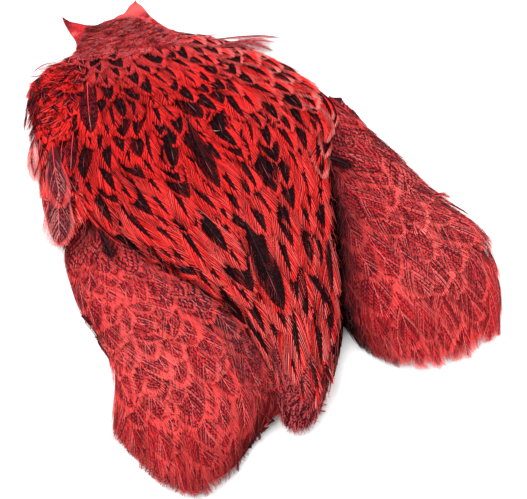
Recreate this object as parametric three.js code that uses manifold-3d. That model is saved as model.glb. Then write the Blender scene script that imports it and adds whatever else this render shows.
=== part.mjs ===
// A dyed hen cape, as fly tyers buy it: the dried neck skin of a hen with its feathers on, lying
// flat on its skin side. Millimetres, +Z up, +Y towards the head end, resting on z = 0.
// The feathers grow in tracts. Each tract is one solid: a low dome of down, with its feathers
// laid over it in rows like shingles, their tips pointing to the tail end.

import * as THREE from "three";
import { mergeVertices } from "three/addons/utils/BufferGeometryUtils.js";
import Module from "manifold-3d";

const wasm = await Module();
wasm.setup();
const { Manifold } = wasm;

// Driving dimensions
const SKIN_THICKNESS = 1.4;
const PIECE_GAP = 0.35; // clearance between two solids that lie against each other
const QUILL_RISE = 1.5; // how far a feather's middle stands above the down
const VANE_DROP = 0.2; // how far its two edges lie below the foot of that ridge
const VANE_DEPTH = 1.8; // depth of its underside, sunk in the down
const ROOT_SINK = 1.8; // how deep its root starts under the coat's surface
const TIP_LIFT = 1.3; // how far its tip lifts off that surface

// A feather's half width along its length, as shares of its greatest, from root to tip
const VANE_STATIONS = [0.22, 0.64, 0.9];
const VANE_SHARES = [0.66, 1.0, 0.68];
const ROW_STAGGER = 0.16; // every second row is shifted sideways by this share of a feather

// Grid of a tract's dome: steps along the cape and across it
const DOME_STEPS_ALONG = 9;
const DOME_STEPS_ACROSS = 6;
const DOME_INSET = 0.04; // the down stops this share short of the tract's sides
const DOME_ROUNDNESS = 0.7; // below 1 the dome is flatter on top and steeper at its sides
const LOWEST_EDGE = 0.8; // least height of the down

const FEATHER_TOLERANCE = 0.12; // facets of the joined feathers are merged up to this error
const CUT_TOLERANCE = 0.09; // slivers that a cut leaves are smoothed away up to this error

const COLOURS = {
  skin: { color: 0xb8242c, roughness: 0.62, metalness: 0 },
  laced: { color: 0xd21f22, roughness: 0.5, metalness: 0 },
  mottled: { color: 0xa61f26, roughness: 0.55, metalness: 0 },
};

// Long feathers of the right shoulder that stand off the coat's edge: root, tip and width
const EDGE_FEATHERS = [
  { root: [6, 73, 4], tip: [36, 63, 4.5], width: 8 },
  { root: [4, 75, 3.5], tip: [39, 66, 4], width: 7 },
];

// Moves the layout below so that the cape's middle stands on the origin
const CENTRING = [1.5, -0.9];

// Each tract runs from the head end to the tail end between three curves of [x, y, height].
// rows: where a row of feather tips lies (0 head end, 1 tail end), how many feathers it has,
// and a feather's length and width.
const TRACTS = {
  neck_feathers: {
    finish: "mottled",
    left: [[-38, 96, 2.4], [-43, 89, 3.6], [-50, 79, 6]],
    middle: [[-21, 96, 2.4], [-21, 83, 6], [-22, 67, 11]],
    right: [[-7, 90, 2.4], [2, 79, 4], [12, 68, 6]],
    domeEnd: 0.85,
    rows: [
      { at: 0.6, count: 3, length: 12, width: 14 },
      { at: 1.0, count: 6, length: 16, width: 14 },
    ],
  },
  centre_feathers: {
    finish: "laced",
    left: [
      [-42, 85, 3], [-53, 58, 9], [-60, 31, 10], [-56, 3, 10],
      [-40, -25, 10], [-25, -47, 10], [-18, -71, 7], [-18, -86, 3],
    ],
    middle: [
      [-15, 80, 3], [-10, 45, 13], [-11, 15, 17], [-9, -12, 19],
      [-9, -38, 20], [-10, -63, 19], [-11, -83, 13], [-16, -98, 4],
    ],
    right: [
      [9, 77, 3], [36, 53, 5], [45, 25, 8], [30, -6, 10],
      [21, -36, 11], [12, -62, 10], [3, -80, 7], [-5, -91, 3],
    ],
    domeEnd: 0.95,
    rows: [
      { at: 0.15, count: 6, length: 18, width: 14 },
      { at: 0.28, count: 7, length: 22, width: 15 },
      { at: 0.42, count: 6, length: 28, width: 17 },
      { at: 0.57, count: 5, length: 32, width: 18 },
      { at: 0.72, count: 4, length: 34, width: 17 },
      { at: 0.87, count: 3, length: 36, width: 15 },
      { at: 1.0, count: 3, length: 34, width: 11 },
    ],
    edgeFeathers: EDGE_FEATHERS,
  },
  left_shoulder_feathers: {
    finish: "mottled",
    left: [[-45, 87, 3], [-61, 78, 4], [-68, 67, 4], [-72, 50, 4], [-74, 33, 3], [-73, 15, 3], [-72, 3, 2]],
    middle: [[-43, 84, 4], [-55, 70, 8], [-61, 55, 9], [-65, 39, 9], [-68, 24, 8], [-69, 11, 6], [-70, 0, 3]],
    right: [[-40, 82, 4], [-47, 63, 8], [-50, 49, 9], [-54, 33, 9], [-57, 17, 9], [-60, 6, 8], [-65, -1, 4]],
    domeEnd: 0.9,
    rows: [
      { at: 0.4, count: 2, length: 22, width: 13 },
      { at: 0.7, count: 2, length: 26, width: 13 },
      { at: 1.0, count: 2, length: 32, width: 10 },
    ],
  },
  left_side_feathers: {
    finish: "mottled",
    left: [[-65, 14, 3], [-72, -5, 4], [-73, -24, 5], [-70, -40, 5], [-71, -57, 4], [-75, -74, 2]],
    middle: [[-51, 2, 7], [-53, -22, 11], [-53, -46, 13], [-54, -67, 13], [-55, -87, 10], [-58, -105, 3]],
    right: [[-36, -11, 8], [-25, -33, 9], [-17, -54, 8], [-14, -74, 7], [-19, -85, 5], [-29, -90, 2]],
    domeEnd: 0.93,
    rows: [
      { at: 0.36, count: 3, length: 32, width: 20 },
      { at: 0.58, count: 3, length: 36, width: 21 },
      { at: 0.8, count: 4, length: 38, width: 19 },
      { at: 1.0, count: 5, length: 38, width: 16 },
    ],
  },
  right_side_feathers: {
    finish: "mottled",
    left: [[40, 28, 6], [33, 6, 8], [26, -17, 8], [20, -40, 8], [14, -58, 6], [14, -66, 2]],
    middle: [[46, 28, 7], [47, 3, 11], [47, -24, 14], [44, -48, 14], [39, -70, 11], [34, -88, 3]],
    right: [[49, 24, 5], [56, 1, 6], [64, -25, 6], [70, -48, 6], [72, -69, 4], [68, -80, 2]],
    domeEnd: 0.93,
    rows: [
      { at: 0.36, count: 3, length: 32, width: 18 },
      { at: 0.58, count: 3, length: 36, width: 20 },
      { at: 0.8, count: 4, length: 38, width: 18 },
      { at: 1.0, count: 5, length: 36, width: 15 },
    ],
  },
};

// The skin's outline: the two corners at the head end, then clockwise round the hide
const EARS = [[-41, 94], [-42, 101], [-43, 107], [-38, 102]];
const HEAD_EDGE = [[-33, 99], [-24, 101], [-18, 102]];
const RIGHT_EAR = [[-12, 106], [-9, 96]];
const HIDE_RIGHT = [[-1, 85], [12, 71], [27, 57], [36, 38], [46, 14], [56, -12], [61, -36], [52, -54]];
const RIGHT_NOTCH = [[38, -52], [29, -34], [18, -32], [6, -50]];
const HIDE_TAIL = [[-8, -62], [-22, -52], [-34, -46], [-48, -58]];
const HIDE_LEFT = [[-62, -50], [-65, -24], [-63, 6], [-64, 34], [-58, 62], [-47, 80], [-41, 94]];
const OUTLINE_STEPS = 3; // points between two of the hide's outline points

// A closed mesh's solid, from its corner points and faces.
function solidOf(points, faces) {
  const geometry = new THREE.BufferGeometry();
  geometry.setAttribute("position", new THREE.Float32BufferAttribute(points.flat(), 3));
  geometry.setIndex(faces.flat());
  return new Manifold(
    new wasm.Mesh({
      numProp: 3,
      vertProperties: geometry.attributes.position.array,
      triVerts: new Uint32Array(geometry.index.array),
    }),
  );
}

function solidOfGeometry(geometry) {
  geometry.deleteAttribute("normal");
  geometry.deleteAttribute("uv");
  const merged = mergeVertices(geometry, 1e-4);
  return new Manifold(
    new wasm.Mesh({
      numProp: 3,
      vertProperties: merged.attributes.position.array,
      triVerts: new Uint32Array(merged.index.array),
    }),
  );
}

function meshOf(name, solid, finish) {
  const { numProp, numVert, vertProperties, triVerts } = solid.getMesh();
  const points = new Float32Array(numVert * 3);
  for (let i = 0; i < numVert; i++)
    points.set(vertProperties.subarray(i * numProp, i * numProp + 3), i * 3);
  const geometry = new THREE.BufferGeometry();
  geometry.setAttribute("position", new THREE.BufferAttribute(points, 3));
  geometry.setIndex(new THREE.BufferAttribute(triVerts, 1));
  geometry.computeVertexNormals();
  const mesh = new THREE.Mesh(geometry, new THREE.MeshStandardMaterial(COLOURS[finish]));
  mesh.name = name;
  return mesh;
}

// A point of a curve, run on straight past either end.
function alongCurve(curve, s) {
  const held = Math.min(1, Math.max(0, s));
  const point = curve.getPoint(held);
  if (s === held) return point;
  const near = curve.getPoint(held === 0 ? 0.01 : 0.99);
  return point.addScaledVector(near.sub(point), held === 0 ? s / 0.01 : (1 - s) / 0.01);
}

// The coat's surface: s runs from the head end to the tail end, t from the tract's left side to
// its right. The three curves carry x, y and height; between them x and y are a parabola in t,
// and the height is a dome over the two sides.
function surfaceOf(tract) {
  const [left, middle, right] = [tract.left, tract.middle, tract.right].map(
    (points) => new THREE.CatmullRomCurve3(points.map((p) => new THREE.Vector3(...p))),
  );
  return (s, t) => {
    const [a, b, c] = [left, middle, right].map((curve) => alongCurve(curve, s));
    const inside = Math.min(1, Math.max(0, t));
    const sideHeight = a.z * (1 - inside) + c.z * inside;
    const rise = b.z - (a.z + c.z) / 2;
    const dome = Math.pow(4 * inside * (1 - inside), DOME_ROUNDNESS);
    const point = a
      .multiplyScalar((1 - t) * (1 - 2 * t))
      .addScaledVector(b, 4 * t * (1 - t))
      .addScaledVector(c, t * (2 * t - 1));
    point.z = Math.max(LOWEST_EDGE, sideHeight + rise * dome);
    return point;
  };
}

// The dome of down: a grid over the tract with a flat underside on z = 0.
function domeSolid(surface, end) {
  const across = DOME_STEPS_ACROSS + 1;
  const corners = (DOME_STEPS_ALONG + 1) * across;
  const top = [];
  const faces = [];
  for (let i = 0; i <= DOME_STEPS_ALONG; i++)
    for (let j = 0; j <= DOME_STEPS_ACROSS; j++) {
      const t = DOME_INSET + ((1 - 2 * DOME_INSET) * j) / DOME_STEPS_ACROSS;
      top.push(surface((end * i) / DOME_STEPS_ALONG, t).toArray());
    }
  const points = [...top, ...top.map(([x, y]) => [x, y, 0])];
  const quad = (a, b, c, d) => faces.push([a, b, c], [a, c, d]);
  for (let i = 0; i < DOME_STEPS_ALONG; i++)
    for (let j = 0; j < DOME_STEPS_ACROSS; j++) {
      const a = i * across + j;
      quad(a, a + across, a + across + 1, a + 1);
      quad(corners + a, corners + a + 1, corners + a + across + 1, corners + a + across);
    }
  const rim = [];
  for (let j = 0; j < DOME_STEPS_ACROSS; j++) rim.push(j);
  for (let i = 0; i < DOME_STEPS_ALONG; i++) rim.push(i * across + DOME_STEPS_ACROSS);
  for (let j = DOME_STEPS_ACROSS; j > 0; j--) rim.push(DOME_STEPS_ALONG * across + j);
  for (let i = DOME_STEPS_ALONG; i > 0; i--) rim.push(i * across);
  rim.forEach((a, k) => {
    const b = rim[(k + 1) % rim.length];
    quad(a, b, corners + b, corners + a);
  });
  return solidOf(points, faces);
}

// A feather as a leaf with a low ridge along its quill: a ring of four points at each station,
// closed by a point at the root and one at the tip. placeAt(u, side, rise) gives a point at share
// u of its length, out to one side by a share of the half width, and raised.
function leafSolid(placeAt) {
  const points = [placeAt(0, 0, 0)];
  const faces = [];
  VANE_STATIONS.forEach((u, i) => {
    const share = VANE_SHARES[i];
    points.push(placeAt(u, -share, -VANE_DROP), placeAt(u, 0, QUILL_RISE));
    points.push(placeAt(u, share, -VANE_DROP), placeAt(u, 0, -VANE_DEPTH));
  });
  points.push(placeAt(1, 0, 0));
  const tip = points.length - 1;
  for (let k = 0; k < 4; k++) {
    const next = (k + 1) % 4;
    faces.push([0, 1 + next, 1 + k]);
    for (let i = 0; i < VANE_STATIONS.length - 1; i++) {
      const ring = 1 + i * 4;
      faces.push([ring + k, ring + next, ring + 4 + next], [ring + k, ring + 4 + next, ring + 4 + k]);
    }
    faces.push([tip - 4 + k, tip - 4 + next, tip]);
  }
  const made = solidOf(points, faces);
  return made.volume() < 0 ? solidOf(points, faces.map(([a, b, c]) => [a, c, b])) : made;
}

// One feather on the coat, from its root under the coat to its tip at (s, t).
function coatFeather(surface, s, t, { length, width }) {
  const stepAlong = surface(s + 0.01, t).distanceTo(surface(s - 0.01, t)) / 0.02;
  const stepAcross = surface(s, t + 0.02).distanceTo(surface(s, t - 0.02)) / 0.04;
  return leafSolid((u, side, rise) => {
    const point = surface(s - ((1 - u) * length) / stepAlong, t + (side * width) / 2 / stepAcross);
    point.z = Math.max(0, point.z + rise + TIP_LIFT * u - ROOT_SINK * (1 - u));
    return point.toArray();
  });
}

// One feather that stands off the coat, straight from root to tip.
function edgeFeather({ root, tip, width }) {
  const start = new THREE.Vector3(...root);
  const way = new THREE.Vector3(...tip).sub(start);
  const across = new THREE.Vector3(way.y, -way.x, 0).setLength(width / 2);
  return leafSolid((u, side, rise) => {
    const point = start.clone().addScaledVector(way, u).addScaledVector(across, side);
    return [point.x, point.y, point.z + rise];
  });
}

function tractSolid(tract) {
  const surface = surfaceOf(tract);
  const pieces = [domeSolid(surface, tract.domeEnd)];
  tract.rows.forEach((row, r) => {
    for (let k = 0; k < row.count; k++) {
      const place = (k + 0.5 + (r % 2 ? ROW_STAGGER : -ROW_STAGGER) / 2) / row.count;
      pieces.push(coatFeather(surface, row.at, place, row));
    }
  });
  for (const feather of tract.edgeFeathers ?? []) pieces.push(edgeFeather(feather));
  return Manifold.union(pieces);
}

// A solid made larger by about one gap on its sides and below.
function withGap(solid) {
  const g = PIECE_GAP;
  const shifts = [[0, 0, 0], [g, 0, 0], [-g, 0, 0], [0, g, 0], [0, -g, 0], [0, 0, -g]];
  return Manifold.union(shifts.map((shift) => solid.translate(shift)));
}

function skinShape() {
  const vectors = (points) => points.map((p) => new THREE.Vector2(...p));
  const shape = new THREE.Shape();
  shape.moveTo(...EARS[0]);
  EARS.slice(1).forEach((p) => shape.lineTo(...p));
  shape.splineThru(vectors(HEAD_EDGE));
  RIGHT_EAR.forEach((p) => shape.lineTo(...p));
  shape.splineThru(vectors([...HIDE_RIGHT, ...RIGHT_NOTCH, ...HIDE_TAIL, ...HIDE_LEFT]));
  return shape;
}

function skinSolid(thickness, lowest, grow = 0) {
  const geometry = new THREE.ExtrudeGeometry(skinShape(), {
    depth: thickness,
    bevelEnabled: false,
    curveSegments: OUTLINE_STEPS,
  });
  const solid = solidOfGeometry(geometry).translate([0, 0, lowest]);
  if (!grow) return solid;
  const shifts = [[grow, 0, 0], [-grow, 0, 0], [0, grow, 0], [0, -grow, 0]];
  return Manifold.union(shifts.map((shift) => solid.translate(shift)));
}

const cape = new THREE.Group();
cape.add(meshOf("skin", skinSolid(SKIN_THICKNESS, 0), "skin"));
const skinRoom = skinSolid(SKIN_THICKNESS + PIECE_GAP + 1, -1, PIECE_GAP);

// The tracts come from the topmost down, and each is cut back from those that lie over it
const taken = [skinRoom];
for (const [name, tract] of Object.entries(TRACTS)) {
  let solid = tractSolid(tract).simplify(FEATHER_TOLERANCE);
  for (const room of taken) solid = solid.subtract(room);
  const bodies = solid.simplify(CUT_TOLERANCE).decompose();
  const whole = bodies.sort((a, b) => b.volume() - a.volume())[0];
  cape.add(meshOf(name, whole, tract.finish));
  taken.push(withGap(whole));
}
cape.position.set(...CENTRING, 0);

export default cape;
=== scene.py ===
"""A dyed hen cape: the dried neck skin of a hen with its feathers on, lying flat, feathers up.

Every feather is made of its quill and its barbs. They lie on the coat of their tract, row over row
like shingles, over a dome of dark down. Sizes in the tables and forms are millimetres; everything
that is built is in metres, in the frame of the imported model.
"""
import math

import bpy
import numpy as np
from bpy.props import FloatProperty, FloatVectorProperty, IntProperty, PointerProperty
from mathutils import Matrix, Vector


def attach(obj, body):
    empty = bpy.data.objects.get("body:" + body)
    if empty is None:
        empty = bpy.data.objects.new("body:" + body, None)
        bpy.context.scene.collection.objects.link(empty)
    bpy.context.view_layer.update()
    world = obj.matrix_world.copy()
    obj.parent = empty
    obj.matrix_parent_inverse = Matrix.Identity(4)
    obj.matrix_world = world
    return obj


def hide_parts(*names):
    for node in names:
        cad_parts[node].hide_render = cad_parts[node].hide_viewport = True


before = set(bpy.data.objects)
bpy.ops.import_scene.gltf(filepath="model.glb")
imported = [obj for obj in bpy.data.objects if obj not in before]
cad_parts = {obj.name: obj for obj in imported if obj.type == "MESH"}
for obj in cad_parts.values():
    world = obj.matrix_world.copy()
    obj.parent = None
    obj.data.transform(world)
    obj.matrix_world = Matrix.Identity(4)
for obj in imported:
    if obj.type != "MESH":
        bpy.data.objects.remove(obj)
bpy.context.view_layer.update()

bl_info = {
    "name": "Hen cape",
    "version": (1, 0, 0),
    "blender": (4, 5, 0),
    "location": "3D View > Sidebar > Hen cape",
    "description": "Makes a dyed hen cape feather by feather",
    "category": "Mesh",
}

MM = 0.001
CENTRING = (1.5, -0.9)

# The coat of each tract runs from the head end to the tail end between three curves of
# [x, y, height]. Seen from above, its rim lies up to 4 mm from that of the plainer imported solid,
# and up to 6 mm from it round the neck's tract and at the centre's head end.
TRACTS = {
    "neck_feathers": {
        "left": [[-36, 99, 1.5], [-42, 90, 2.6], [-50, 81, 3.0]],
        "middle": [[-25, 100, 1.6], [-22, 86, 4.2], [-22, 71, 5.9]],
        "right": [[-14, 99, 1.5], [-1, 83, 3.0], [11, 72, 3.4]],
    },
    "centre_feathers": {
        "left": [
            [-42, 87, 2], [-53, 58, 9], [-60, 31, 10], [-56, 3, 10],
            [-40, -25, 10], [-25, -47, 10], [-19, -71, 7], [-20, -90, 3],
        ],
        "middle": [
            [-17, 86, 3], [-10, 45, 13], [-11, 15, 17], [-9, -12, 19],
            [-9, -38, 20], [-10, -63, 19], [-11, -83, 13], [-15.5, -96.5, 4],
        ],
        "right": [
            [14, 77, 2], [33, 53.5, 5], [43.7, 24, 8], [30, -6, 10],
            [21, -36, 11], [12, -62, 10], [3, -79, 7], [-6, -89, 3],
        ],
    },
    "left_shoulder_feathers": {
        "left": [
            [-45, 87, 3], [-62.3, 79, 4], [-67.6, 68, 4], [-68.7, 50, 4],
            [-72.5, 33, 3], [-74, 15.5, 3], [-74, 2.5, 2],
        ],
        "middle": [
            [-43, 84, 4], [-55, 70, 8], [-61, 55, 9], [-65, 39, 9],
            [-68, 24, 8], [-69, 11, 6], [-70, 0, 3],
        ],
        "right": [
            [-40, 82, 4], [-47, 63, 8], [-50, 49, 9], [-54, 33, 9],
            [-57, 17, 9], [-60, 6, 8], [-65, -1, 4],
        ],
    },
    "left_side_feathers": {
        "left": [
            [-65, 14, 3], [-72.4, -6, 4], [-72, -24.5, 5],
            [-68.4, -41, 5], [-69, -57.5, 4], [-73.4, -74.4, 2],
        ],
        "middle": [
            [-51, 2, 7], [-53, -22, 11], [-53, -46, 13],
            [-54, -67, 13], [-54.5, -87, 10], [-54.2, -103.3, 3],
        ],
        "right": [
            [-36, -11, 8], [-25, -33, 9], [-17, -54, 8],
            [-14, -74, 7], [-19.3, -84.5, 5], [-29.3, -88.5, 2],
        ],
    },
    "right_side_feathers": {
        "left": [
            [40, 28, 6], [33, 6, 8], [26, -17, 8],
            [20, -40, 8], [14, -58, 6], [16, -72, 2],
        ],
        "middle": [
            [46, 28, 7], [47, 3, 11], [47, -24, 14],
            [44, -48, 14], [39, -70, 11], [34.5, -87, 3],
        ],
        "right": [
            [47.2, 22.8, 5], [55.9, 0.9, 6], [64.6, -24, 6],
            [73.6, -47, 6], [71.5, -65.5, 4], [63.0, -83.6, 2],
        ],
    },
}
DOME_ROUNDNESS = 0.7
LOWEST_COAT = 0.8 * MM
LOWEST_FEATHER = 0.25 * MM
LOWEST_FEATHER_SPREAD = 0.2 * MM

# The skin's four edges: round the head end between the two pointed corners, down both sides,
# and across the tail end
SKIN_HEAD = [[-43, 107], [-38, 103.5], [-33, 100.5], [-24, 101], [-18, 102.5], [-14, 105.4], [-12, 106]]
SKIN_LEFT = [
    [-43, 107], [-42, 101], [-41, 94], [-47, 80], [-58, 62],
    [-64, 34], [-63, 6], [-65, -24], [-62, -50],
]
SKIN_RIGHT = [
    [-12, 106], [-10.4, 104], [-8, 96], [-1, 85], [12, 71], [27, 57],
    [36, 38], [46, 14], [56, -12], [61, -36], [52, -54],
]
SKIN_TAIL = [
    [-62, -50], [-48, -58], [-34, -46], [-22, -52], [-8, -62],
    [6, -50], [18, -32], [29, -34], [38, -52], [52, -54],
]
SKIN_ROWS, SKIN_COLUMNS = 150, 110
SKIN_TOP, SKIN_UNDERSIDE, SKIN_GRAIN = 1.25, 0.05, 0.05
SKIN_ROW_POWER = 1.7
SKIN_RIPPLE, SKIN_RIPPLE_WAVES, SKIN_RIPPLE_FADE = 0.35, (900, 500), 8
SKIN_CORNER_LIFT = {"top": 2.2, "underside": 1.9}
SKIN_CORNER_FADE = {"along": 40, "across": 9}

# The down under each tract: its grid, how far its sides stay in, and its heights
DOWN_ROWS, DOWN_COLUMNS = 60, 48
DOWN_SIDES = (0.07, 0.93)
DOWN_FLUFF, DOWN_LOWEST, DOWN_UNDERSIDE = 0.15 * MM, 0.7 * MM, 0.45 * MM

# Colours that are mixed into those of the settings
HEAD_END_RED = (0.55, 0.060, 0.066)
MARBLED_RED = (0.26, 0.014, 0.022)
WORN_DARK, WORN_LIGHT = (0.050, 0.004, 0.007), (0.56, 0.075, 0.085)
PURPLE_SHEEN = (0.13, 0.035, 0.050)
FOLD_LIGHT = (0.80, 0.16, 0.17)
QUILL_DARK, QUILL_SHADED = (0.42, 0.10, 0.10), (0.02, 0.002, 0.003)
HUSK_DARK, HUSK_LIGHT = (0.45, 0.25, 0.05), (1.0, 0.85, 0.45)
DOWN_DARK = (0.02, 0.001, 0.002)
# The skin's dark blotches, and its painted highlight
SKIN_DARK, SKIN_HIGHLIGHT = (0.16, 0.005, 0.010), (0.98, 0.16, 0.15)


# Settings


def length_setting(name, description, default):
    """A size that a user may change, given in millimetres and kept in metres."""
    return FloatProperty(
        name=name, description=description, default=default * MM,
        unit="LENGTH", subtype="DISTANCE", precision=5,
    )


def colour_setting(name, description, default):
    """A colour that a user may change."""
    return FloatVectorProperty(
        name=name, description=description, default=default, subtype="COLOR", size=3, min=0, max=1
    )


SIZE_WORDS = {
    "length": ("Feather length", "From the root to the tip of a feather"),
    "half_width": ("Half width", "From the quill to the widest point of the vane"),
    "pitch": ("Row pitch", "From one row of tips to the next"),
    "spacing": ("Spacing", "From one feather to the next in a row"),
}


def feather_settings(label, barbs, **sizes):
    """The property group of one tract. Each size is a pair: at the head end and at the tail end."""
    fields = {}
    for key, pair in sizes.items():
        name, description = SIZE_WORDS[key]
        for end, value in zip(("head", "tail"), pair):
            fields[f"{key}_{end}"] = length_setting(f"{name}, {end} end", description, value)
    fields["barbs"] = IntProperty(
        name="Barbs", description="Barbs on each side of a quill", default=barbs, min=6, max=90
    )
    return type(label, (bpy.types.PropertyGroup,), {"__annotations__": fields})


NeckFeatherSettings = feather_settings(
    "NeckFeatherSettings", barbs=12,
    length=(5, 10), half_width=(1.8, 2.8), pitch=(1.5, 2.8), spacing=(2.2, 3.4),
)
CentreFeatherSettings = feather_settings(
    "CentreFeatherSettings", barbs=44,
    length=(25, 44), half_width=(5.0, 7.6), pitch=(6.4, 10.2), spacing=(7.2, 9.4),
)
ShoulderFeatherSettings = feather_settings(
    "ShoulderFeatherSettings", barbs=44,
    length=(15, 40), half_width=(3.4, 6.8), pitch=(4.6, 11), spacing=(4.4, 6.5),
)
SideFeatherSettings = feather_settings(
    "SideFeatherSettings", barbs=46,
    length=(32, 42), half_width=(5.5, 7.0), pitch=(8.0, 11.0), spacing=(6.2, 8.0),
)


class ColourSettings(bpy.types.PropertyGroup):
    """The dye's colours."""

    red: colour_setting("Laced red", "Edge of a laced feather", (1.0, 0.024, 0.022))
    deep_red: colour_setting("Deep red", "Shaded barbs", (0.07, 0.003, 0.004))
    black: colour_setting("Lacing black", "Middle of a laced feather", (0.006, 0.002, 0.003))
    side_red: colour_setting("Side red", "Ground of a pencilled feather", (0.86, 0.030, 0.036))
    side_edge: colour_setting("Soft edge", "Loose barb ends", (1.0, 0.090, 0.086))
    pencil: colour_setting("Pencilling", "Dark wavy lines of a pencilled feather", (0.060, 0.009, 0.013))
    pale: colour_setting("Pale sheen", "Palest barbs", (0.95, 0.33, 0.30))
    quill: colour_setting("Quill", "The pale quill", (1.0, 0.20, 0.20))
    down: colour_setting("Down", "The down under the feathers", (0.16, 0.004, 0.007))
    skin: colour_setting("Skin", "The dried skin", (0.52, 0.018, 0.024))


class CapeSettings(bpy.types.PropertyGroup):
    """All settings of the cape."""

    neck: PointerProperty(type=NeckFeatherSettings)
    centre: PointerProperty(type=CentreFeatherSettings)
    shoulder: PointerProperty(type=ShoulderFeatherSettings)
    side: PointerProperty(type=SideFeatherSettings)
    colours: PointerProperty(type=ColourSettings)


# Shapes


def curve_points(points, s):
    """Places on a centripetal Catmull-Rom curve through points, s from 0 to 1 from end to end.
    Each stretch is a cubic whose end slopes come from its neighbours, weighted by the square roots
    of the distances between the points. Past an end the curve runs on straight."""
    knots = np.asarray(points, float)
    last = len(knots) - 1
    knots = np.vstack([2 * knots[0] - knots[1], knots, 2 * knots[-1] - knots[-2]])
    reach = np.linalg.norm(np.diff(knots, axis=0), axis=1) ** 0.5
    held = np.clip(s, 0.0, 1.0)
    stretch = np.minimum((held * last).astype(int), last - 1)
    w = (held * last - stretch)[..., None]
    p0, p1, p2, p3 = (knots[stretch + k] for k in range(4))
    d0, d1, d2 = (reach[stretch + k][..., None] for k in range(3))
    slope1 = ((p1 - p0) / d0 - (p2 - p0) / (d0 + d1) + (p2 - p1) / d1) * d1
    slope2 = ((p2 - p1) / d1 - (p3 - p1) / (d1 + d2) + (p3 - p2) / d2) * d1
    square = 3 * (p2 - p1) - 2 * slope1 - slope2
    cube = 2 * (p1 - p2) + slope1 + slope2
    there = p1 + slope1 * w + square * w**2 + cube * w**3
    beyond = (s - held)[..., None]
    first, end = knots[2] - knots[1], knots[-2] - knots[-3]
    return there + np.where(beyond < 0, first, end) * beyond * last


class Coat:
    """The upper surface of a tract: s from the head end to the tail end, t from its left side to
    its right. Between the left, middle and right curves x and y are a parabola in t, and the height
    is a rounded dome over the two sides' heights. Past a side it falls to the ground within the
    overhang. A level under 1 gives a lower coat. The tuck is the share that is kept of what passes
    the coat's tail end or a side."""

    def __init__(self, tract, level=1.0, overhang=7 * MM, tuck=0.45):
        shift = np.array([*CENTRING, 0.0])
        self.curves = [(np.array(tract[side], float) + shift) * MM for side in ("left", "middle", "right")]
        self.level, self.overhang, self.tuck = level, overhang, tuck

    def place(self, s, t):
        """Points of the coat."""
        s, t = np.broadcast_arrays(np.asarray(s, float), np.asarray(t, float))
        a, b, c = (curve_points(points, s) for points in self.curves)
        inside = np.clip(t, 0.0, 1.0)
        over = np.abs(t - inside) * np.hypot(c[..., 0] - a[..., 0], c[..., 1] - a[..., 1])
        fall = np.clip(1 - (over / self.overhang) ** 1.5, 0.0, 1.0)
        side = a[..., 2] * (1 - inside) + c[..., 2] * inside
        rise = b[..., 2] - (a[..., 2] + c[..., 2]) / 2
        height = (side * fall + rise * (4 * inside * (1 - inside)) ** DOME_ROUNDNESS) * self.level
        t = t[..., None]
        found = a * (1 - t) * (1 - 2 * t) + b * 4 * t * (1 - t) + c * t * (2 * t - 1)
        found[..., 2] = np.maximum(LOWEST_COAT, height)
        return found

    def slopes(self, s, t, step=0.004):
        """How the coat runs along s and along t, and its upward normal."""
        along = (self.place(s + step, t) - self.place(s - step, t)) / (2 * step)
        across = (self.place(s, t + step) - self.place(s, t - step)) / (2 * step)
        normal = np.cross(across, along)
        normal /= np.maximum(np.linalg.norm(normal, axis=-1, keepdims=True), 1e-12)
        normal *= np.where(normal[..., 2:] < 0, -1.0, 1.0)
        return along, across, normal

    def width(self, s):
        """Length of the line across the coat at s."""
        line = self.place(np.full(25, s), np.linspace(0, 1, 25))
        return np.linalg.norm(np.diff(line, axis=0), axis=1).sum()


def vane_outline(u, form):
    """Half width of a vane at u of its length, as a share of its greatest: a sine up to the widest
    point, then a quarter of a superellipse to the tip, rounder where blunt is larger."""
    widest, blunt = form["widest"], form["blunt"]
    low = np.sin(np.pi / 2 * np.clip(u / widest, 0, 1)) ** 0.8
    high = (1 - np.clip((u - widest) / (1 - widest), 0, 1) ** blunt) ** (1 / blunt)
    return np.where(u < widest, low, high)


def spread_over(table, s, t):
    """Values of a table of 3 x 3 (head, middle, tail end by left, middle, right) at s and t, by the
    parabola through each three."""
    def through(a, b, c, x):
        return a * (1 - x) * (1 - 2 * x) + b * 4 * x * (1 - x) + c * x * (2 * x - 1)

    s, t = np.clip(s, 0, 1), np.clip(t, 0, 1)
    return through(*(through(*row, t) for row in table), s)


def even(value):
    """A table of 3 x 3 that holds one value."""
    return [[value] * 3] * 3


def size_at(settings, key, s):
    """A size of a tract at s, on a line from the head end's to the tail end's."""
    return getattr(settings, f"{key}_head") * (1 - s) + getattr(settings, f"{key}_tail") * s


# Random size of a feather, the step of its tip along the coat as a share of the row's step, and how
# far its tip stays inside the coat's sides as a share of its half width
ROW_SIZES, ROW_SCATTER, ROW_INSET = (0.72, 1.26), 0.45, 0.35


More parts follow.
